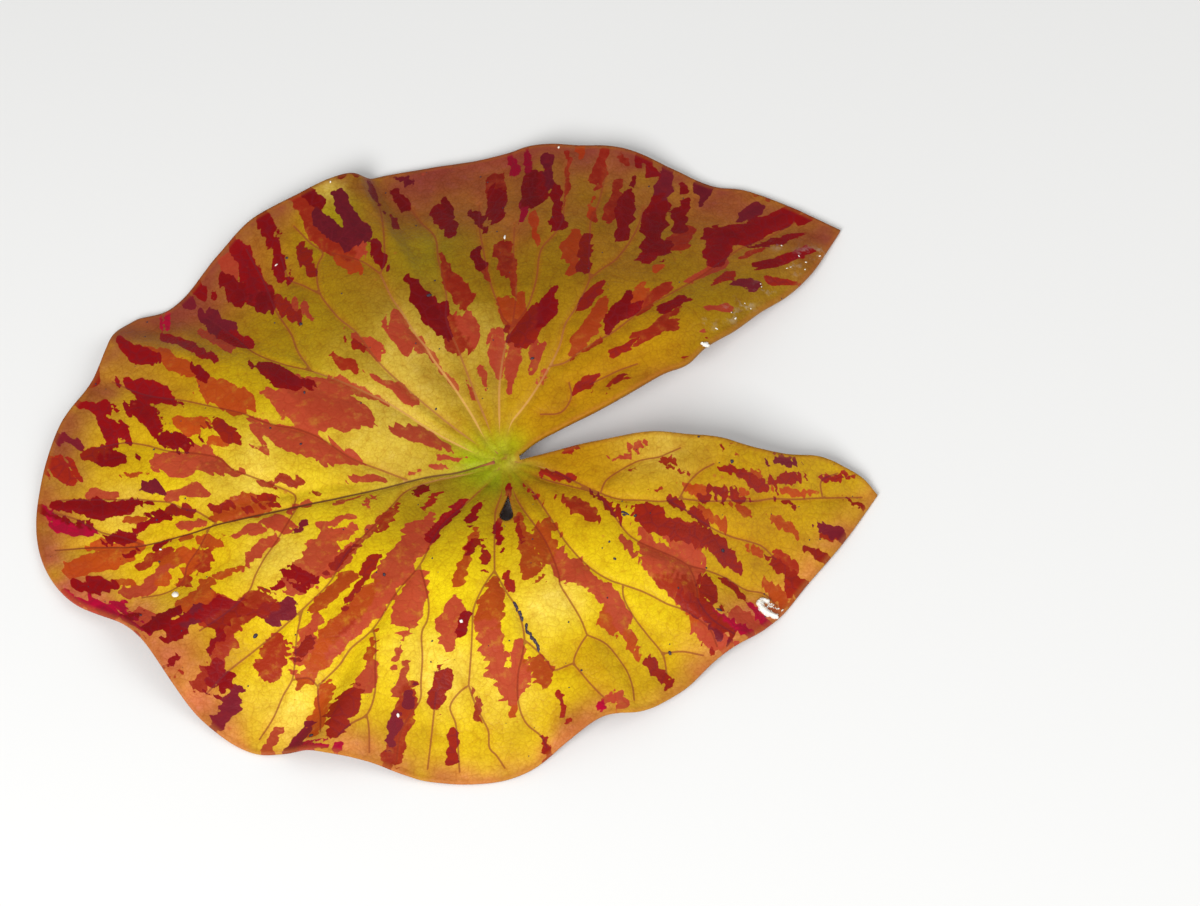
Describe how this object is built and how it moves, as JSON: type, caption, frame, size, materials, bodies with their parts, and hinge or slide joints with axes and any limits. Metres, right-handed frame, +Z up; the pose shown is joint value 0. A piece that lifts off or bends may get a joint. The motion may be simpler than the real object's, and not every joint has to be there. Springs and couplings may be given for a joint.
{
  "type": "water lily pad",
  "caption": "Floating leaf with a wavy rim, a deep notch running in to the stalk, forking veins and red mottling, picked with a short stump of stalk.",
  "frame": {"origin": "under the middle of the pad's outline, on the surface that it lies on", "axes": "+X towards the notch, -X towards the leaf's tip, +Y towards the larger lobe, +Z up out of the upper face"},
  "size_m": [0.209, 0.1704, 0.0125],
  "materials": {
    "leaf_skin": "smooth waxy leaf skin, yellow with dark red and orange-red mottling, semi-gloss",
    "stalk_flesh": "smooth reddish brown stalk skin with a paler, damp cut face"
  },
  "bodies": {
    "root": {"leaf_blade": "leaf_skin", "petiole_stub": "stalk_flesh"}
  },
  "joints": []
}
